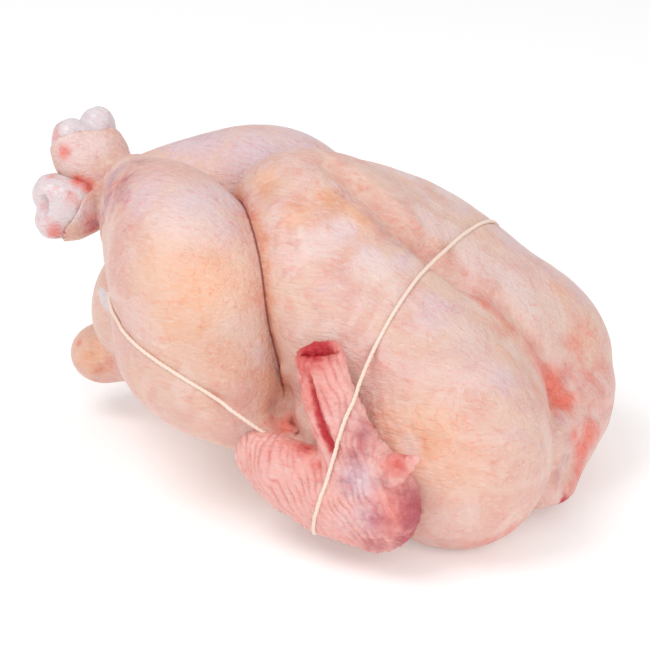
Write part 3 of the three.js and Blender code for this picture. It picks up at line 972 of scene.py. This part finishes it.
def twisted_string():
    """A tree that turns a closed line of edges into a string of twisted strands."""
    tree = bpy.data.node_groups.new("Twisted string", "GeometryNodeTree")
    for name, kind in STRING_INPUTS.items():
        tree.interface.new_socket(name, in_out="INPUT", socket_type="NodeSocket" + kind)
    tree.interface.new_socket("Geometry", in_out="OUTPUT", socket_type="NodeSocketGeometry")
    entry = tree.nodes.new("NodeGroupInput")
    given = {s.name: Value(s) for s in entry.outputs if s.name}

    curve = node(tree, "GeometryNodeMeshToCurve", None, {"Mesh": given["Geometry"]})
    values = {"Curve": curve, "Length": given["Thickness"] * STEP}
    curve = node(tree, "GeometryNodeResampleCurve", {"mode": "LENGTH"}, values)
    run = node(tree, "GeometryNodeCurveLength", None, {"Curve": curve})
    turns = run.math("ROUND", run.math("DIVIDE", run, given["Lay"]))
    along = node(tree, "GeometryNodeSplineParameter", output="Factor")
    values = {"Curve": curve, "Tilt": along * turns * (2 * math.pi)}
    curve = node(tree, "GeometryNodeSetCurveTilt", None, values)

    values = {"Resolution": RING_POINTS, "Radius": given["Thickness"] * RING_RADIUS}
    ring = node(tree, "GeometryNodeCurvePrimitiveCircle", {"mode": "RADIUS"}, values)
    round_it = node(tree, "GeometryNodeSplineParameter", output="Factor")
    angle = round_it * given["Strands"] * (2 * math.pi)
    swell = angle.math("COSINE", angle) * STRAND_SWELL
    offset = scaled(tree, node(tree, "GeometryNodeInputPosition"), swell)
    ring = node(tree, "GeometryNodeSetPosition", None, {"Geometry": ring, "Offset": offset})

    mesh = node(tree, "GeometryNodeCurveToMesh", None, {"Curve": curve, "Profile Curve": ring})
    mesh = node(tree, "GeometryNodeSetShadeSmooth", None, {"Geometry": mesh})
    mesh = node(tree, "GeometryNodeRealizeInstances", None, {"Geometry": mesh})
    mesh = node(tree, "GeometryNodeSetMaterial", None, {"Geometry": mesh, "Material": given["Material"]})
    tree.links.new(mesh.socket, tree.nodes.new("NodeGroupOutput").inputs[0])
    return tree


# ---- making the pieces ----

BODY_BOX = ((-140, -100, -6), (112, 100, 140))
ANKLE_BOX = ((-140, -40, 75), (-95, 30, 142))
WING_BOX = {NEAR: ((-22, -100, -4), (76, -56, 96)), FAR: ((-22, 56, -4), (76, 100, 96))}


def added(name, data):
    made = bpy.data.objects.new(name, data)
    bpy.context.scene.collection.objects.link(made)
    return made


def belongs(piece, node_name):
    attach(piece, BODY)
    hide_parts(node_name)


def add_skin(name, box, detail, field, relief, masks):
    """A closed piece of the bird within a box, with a number per point for each of its masks."""
    points, faces = skin_of(field, relief, *box, detail / MM)
    mesh = bpy.data.meshes.new(name)
    mesh.from_pydata(((points + ORIGIN) * MM).tolist(), [], faces.tolist())
    for mask, values in masks(points).items():
        even = evened(values, faces).astype(np.float32)
        mesh.attributes.new(mask, "FLOAT", "POINT").data.foreach_set("value", even)
    mesh.shade_smooth()
    tints = bpy.context.scene.chicken_tints
    mesh.materials.append(bpy.data.materials.get("chicken_skin") or skin_finish(tints))
    belongs(added(name, mesh), "chicken")


def size(name, description, default):
    """A length in metres that a user may change."""
    return bpy.props.FloatProperty(
        name=name, description=description, default=default, unit="LENGTH", precision=5
    )


def colour(name, description, *channels):
    """A colour that a user may change, with its default as a display colour, 0 to 255."""
    return bpy.props.FloatVectorProperty(
        name=name, description=description, default=shade(*channels), size=3, subtype="COLOR"
    )


class CHICKEN_PG_shape(bpy.types.PropertyGroup):
    """Sizes that a user would change"""

    body_detail: size("Body detail", "Grid step of the body's skin", 0.00135)
    wing_detail: size("Wing detail", "Grid step of a wing's skin", 0.0006)
    ankle_detail: size("Ankle detail", "Grid step of an ankle", 0.0007)
    string_thickness: size("String thickness", "Width of the elastic string", 0.0016)
    string_lay: size("String lay", "Length of one turn of its strands", 0.006)
    string_strands: bpy.props.IntProperty(
        name="Strands", description="Strands twisted into the string", default=3, min=2, max=6
    )


class CHICKEN_PG_tints(bpy.types.PropertyGroup):
    """Colours of the finishes"""

    pale: colour("Pale skin", "Skin over thin fat", 226, 190, 173)
    pink: colour("Pink skin", "Skin over lean meat", 221, 173, 162)
    wing: colour("Wing skin", "Skin of the wings", 236, 177, 170)
    film: colour("Film", "Whitish membrane in the skin", 234, 210, 205)
    fat: colour("Fat", "Skin over yellow fat", 238, 184, 148)
    # tan skin, and also warm shade painted beside the legs, round the pit and in the keel's valley
    tan: colour("Tan skin", "Dried or folded skin", 214, 150, 118)
    # lilac skin, and also painted shade along the keel's valley and on the calf
    lilac: colour("Lilac skin", "Skin over membrane", 219, 198, 208)
    flush: colour("Flushed skin", "Skin with blood under it", 232, 108, 88)
    # purple skin, and also painted shade on the calf and along the keel's valley
    bruise: colour("Bruise", "Purple skin", 154, 48, 78)
    gristle: colour("Gristle", "Bare joint ends", 222, 214, 220)
    # painted shade in creases and the painted shadow line where leg meets breast
    seam: colour("Creases", "Deep creases", 134, 40, 22)
    raw: colour("Raw flesh", "Cut ends and blood", 190, 36, 48)
    string: colour("String", "The elastic string", 250, 228, 212)


class CHICKEN_OT_body(bpy.types.Operator):
    """Make the carcass with its legs, tail and neck skin"""

    bl_idname = "chicken.body"
    bl_label = "Body and legs"

    def execute(self, context):
        detail = context.scene.chicken_shape.body_detail
        add_skin("bird_body", BODY_BOX, detail, resting_body, body_relief, body_masks)
        return {"FINISHED"}


class CHICKEN_OT_ankles(bpy.types.Operator):
    """Make the bare ends of the two shanks"""

    bl_idname = "chicken.ankles"
    bl_label = "Ankle joints"

    def execute(self, context):
        detail = context.scene.chicken_shape.ankle_detail
        for side, name in ((NEAR, "near_ankle"), (FAR, "far_ankle")):
            field, masks = (partial(made, side=side) for made in (ankle, ankle_masks))
            add_skin(name, ANKLE_BOX, detail, field, ankle_relief, masks)
        return {"FINISHED"}


class CHICKEN_OT_wings(bpy.types.Operator):
    """Make the two folded wings"""

    bl_idname = "chicken.wings"
    bl_label = "Wings"

    def execute(self, context):
        detail = context.scene.chicken_shape.wing_detail
        for side, name in ((NEAR, "near_wing"), (FAR, "far_wing")):
            parts = (partial(made, side=side) for made in (resting_wing, wing_relief, wing_masks))
            add_skin(name, WING_BOX[side], detail, *parts)
        return {"FINISHED"}


class CHICKEN_OT_string(bpy.types.Operator):
    """Make the elastic string that holds the legs and wings"""

    bl_idname = "chicken.string"
    bl_label = "String"

    def execute(self, context):
        shape = context.scene.chicken_shape

        def skin(p):
            """The bird's skin, where the wings count only ahead of the thighs."""
            wings = np.minimum(wing_skin(p, NEAR), wing_skin(p, FAR))
            behind = fade(10, 0, p[:, 0]) * BEYOND_SKIN
            return np.minimum(body_skin(p), wings + behind)

        radius = shape.string_thickness / MM / 2
        pulled = taut(STRING_PATH, skin, STRING_REST * radius)
        path = np.where(STRING_SHOWS[:, None], pulled, STRING_PATH)
        edges = [(i, (i + 1) % len(path)) for i in range(len(path))]
        line = bpy.data.meshes.new("string_line")
        line.from_pydata(((path + ORIGIN) * MM).tolist(), edges, [])
        carrier = added("string_line", line)
        tree = twisted_string()
        modifier = carrier.modifiers.new("String", "NODES")
        modifier.node_group = tree
        sockets = {s.name: s.identifier for s in tree.interface.items_tree if s.in_out == "INPUT"}
        modifier[sockets["Thickness"]] = shape.string_thickness
        modifier[sockets["Lay"]] = shape.string_lay
        modifier[sockets["Strands"]] = shape.string_strands
        modifier[sockets["Material"]] = string_finish(context.scene.chicken_tints.string)
        evaluated = carrier.evaluated_get(context.evaluated_depsgraph_get())
        mesh = bpy.data.meshes.new_from_object(evaluated)
        mesh.name = "truss_elastic"
        bpy.data.objects.remove(carrier)
        belongs(added("truss_elastic", mesh), "truss_string")
        return {"FINISHED"}


FLOOR = [(-4, -4, 0), (4, -4, 0), (4, 4, 0), (-4, 4, 0)]  # metres
VIEW_AZIMUTH, VIEW_ELEVATION = math.radians(24), math.radians(24)
VIEW_MIDDLE = Vector((-10, 0, 50))
VIEW_SHIFT = (1.6, 5.7)  # how far the view's middle lies right of it and above it
VIEW_DISTANCE = 900
LENS = 123.1
ROOM_LIGHT = 0.68
LIGHTS = [  # name, place and size in metres, watts
    ("key", (-0.4, -0.5, 1.2), 0.7, 5.8),
    ("fill", (0.95, -0.8, 0.72), 1.0, 5.3),
]
LIT = Vector((0, 0, 0.05))  # what they face


class CHICKEN_OT_stage(bpy.types.Operator):
    """Make the floor, the lights and the camera"""

    bl_idname = "chicken.stage"
    bl_label = "Stage"

    def execute(self, context):
        scene = context.scene
        scene.view_settings.view_transform = "Standard"
        mesh = bpy.data.meshes.new("floor")
        mesh.from_pydata(FLOOR, [], [(0, 1, 2, 3)])
        mesh.materials.append(paper_finish())
        added("floor", mesh)
        scene.world = bpy.data.worlds.new("studio")
        scene.world.use_nodes = True
        background = scene.world.node_tree.nodes["Background"]
        background.inputs["Color"].default_value = (1, 1, 1, 1)
        background.inputs["Strength"].default_value = ROOM_LIGHT
        east, north = math.cos(VIEW_AZIMUTH), math.sin(VIEW_AZIMUTH)
        flat, rise = math.cos(VIEW_ELEVATION), math.sin(VIEW_ELEVATION)
        right = Vector((east, north, 0))
        back = Vector((north * flat, -east * flat, rise))
        up = back.cross(right)
        aim = VIEW_MIDDLE + VIEW_SHIFT[0] * right + VIEW_SHIFT[1] * up + Vector(ORIGIN)
        turn = Matrix((right, up, back)).transposed().to_4x4()
        camera = added("camera", bpy.data.cameras.new("camera"))
        camera.data.lens = LENS
        camera.data.clip_end = 100
        camera.matrix_world = Matrix.Translation((aim + VIEW_DISTANCE * back) * MM) @ turn
        scene.camera = camera
        for name, place, width, power in LIGHTS:
            light = bpy.data.lights.new(name, "AREA")
            light.size = width
            light.energy = power
            lamp = added(name, light)
            lamp.location = place
            lamp.rotation_euler = (Vector(place) - LIT).to_track_quat("Z", "Y").to_euler()
        return {"FINISHED"}


class CHICKEN_PT_panel(bpy.types.Panel):
    """Lists the pieces and their sizes"""

    bl_idname = "CHICKEN_PT_panel"
    bl_label = "Raw chicken"
    bl_space_type = "VIEW_3D"
    bl_region_type = "UI"
    bl_category = "Chicken"

    def draw(self, context):
        for cls in OPERATORS:
            self.layout.operator(cls.bl_idname)
        for group in (context.scene.chicken_shape, context.scene.chicken_tints):
            for name in group.__annotations__:
                self.layout.prop(group, name)


OPERATORS = [CHICKEN_OT_stage, CHICKEN_OT_body, CHICKEN_OT_ankles, CHICKEN_OT_wings, CHICKEN_OT_string]
CLASSES = [CHICKEN_PG_shape, CHICKEN_PG_tints, *OPERATORS, CHICKEN_PT_panel]


def register():
    for cls in CLASSES:
        bpy.utils.register_class(cls)
    bpy.types.Scene.chicken_shape = bpy.props.PointerProperty(type=CHICKEN_PG_shape)
    bpy.types.Scene.chicken_tints = bpy.props.PointerProperty(type=CHICKEN_PG_tints)


def unregister():
    del bpy.types.Scene.chicken_tints
    del bpy.types.Scene.chicken_shape
    for cls in reversed(CLASSES):
        bpy.utils.unregister_class(cls)


def main():
    register()
    bpy.ops.chicken.stage()
    bpy.ops.chicken.body()
    bpy.ops.chicken.ankles()
    bpy.ops.chicken.wings()
    bpy.ops.chicken.string()


if __name__ == "__main__":
    main()
